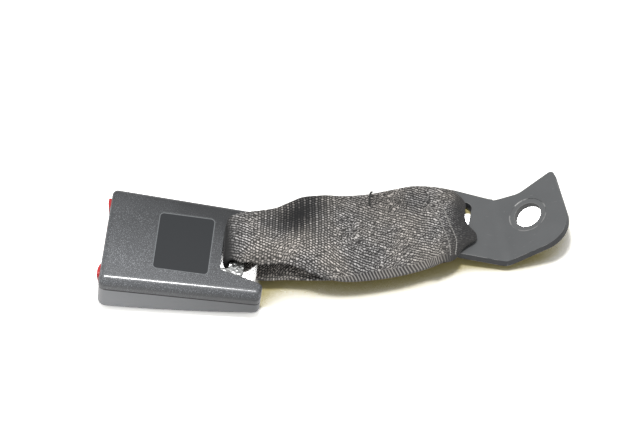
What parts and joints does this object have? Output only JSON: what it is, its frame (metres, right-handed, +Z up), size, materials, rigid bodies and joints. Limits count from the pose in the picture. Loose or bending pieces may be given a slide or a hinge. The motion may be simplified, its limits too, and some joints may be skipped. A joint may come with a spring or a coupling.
{
  "type": "seat belt buckle",
  "caption": "Seat belt buckle with press button and hidden latch, on a short webbing strap sewn round a bent anchor plate with one bolt hole.",
  "frame": {"origin": "centre of the bounding box at the ground the part lies on", "axes": "+X from the button end to the anchor plate, +Y across the buckle towards the far edge, +Z up"},
  "size_m": [0.2028, 0.0832, 0.0232],
  "materials": {
    "back_cover_plastic": "fine sparkle grain, dark blue grey",
    "front_cover_plastic": "satin dark grey",
    "inner_plastic": "plain black moulding",
    "button_plastic": "satin red",
    "spring_steel": "drawn wire",
    "zinc_plated_steel": "bright zinc",
    "pin_steel": "turned",
    "foam": "open foam",
    "webbing": "woven polyester, grey brown with pale flecks",
    "thread": "twisted thread",
    "plate_paint": "dark satin paint with worn edges"
  },
  "bodies": {
    "buckle": {"back_cover": "back_cover_plastic", "front_cover": "front_cover_plastic", "mouth_guide": "inner_plastic", "frame": "zinc_plated_steel", "latch_pin": "pin_steel", "latch_pin_clip": "spring_steel", "spring_block": "inner_plastic", "rattle_pad_left": "foam", "rattle_pad_right": "foam", "button_spring_left": "spring_steel", "button_spring_right": "spring_steel", "ejector_spring": "spring_steel", "latch_spring": "spring_steel"},
    "button": {"press_button": "button_plastic", "release_slider": "inner_plastic"},
    "latch": {"latch": "zinc_plated_steel"},
    "ejector": {"ejector": "inner_plastic"},
    "strap": {"webbing_strap": "webbing", "strap_stitching": "thread"},
    "plate": {"anchor_plate": "plate_paint"}
  },
  "joints": [
    {"name": "button_press", "type": "slide", "parent": "buckle", "child": "button", "axis": [0.9962, 0, -0.0872], "range_m": [0, 0.005], "stiffness_N_per_m": 1600, "springref_m": -0.004, "deforming": ["button_spring_left", "button_spring_right"]},
    {"name": "latch_swing", "type": "hinge", "parent": "buckle", "child": "latch", "pos_m": [-0.06086, -0.01672, 0.00887], "axis": [0, 1, 0], "range_deg": [-13, 0], "deforming": ["latch_spring"]},
    {"name": "ejector_slide", "type": "slide", "parent": "buckle", "child": "ejector", "axis": [0.9962, 0, -0.0872], "range_m": [0, 0.011], "stiffness_N_per_m": 350, "springref_m": -0.006, "deforming": ["ejector_spring"]},
    {"name": "strap_swing", "type": "hinge", "parent": "buckle", "child": "strap", "pos_m": [-0.04302, -0.01672, 0.01479], "axis": [0, -1, 0], "range_deg": [0, 12]},
    {"name": "plate_swing", "type": "hinge", "parent": "strap", "child": "plate", "pos_m": [0.04687, 0.01613, 0.00524], "axis": [0.1074, 0.9858, -0.1292], "range_deg": [0, 8]}
  ],
  "couplings": [
    {"joint": "latch_swing", "follows": "button_press", "rad_per_m": -45.3}
  ]
}
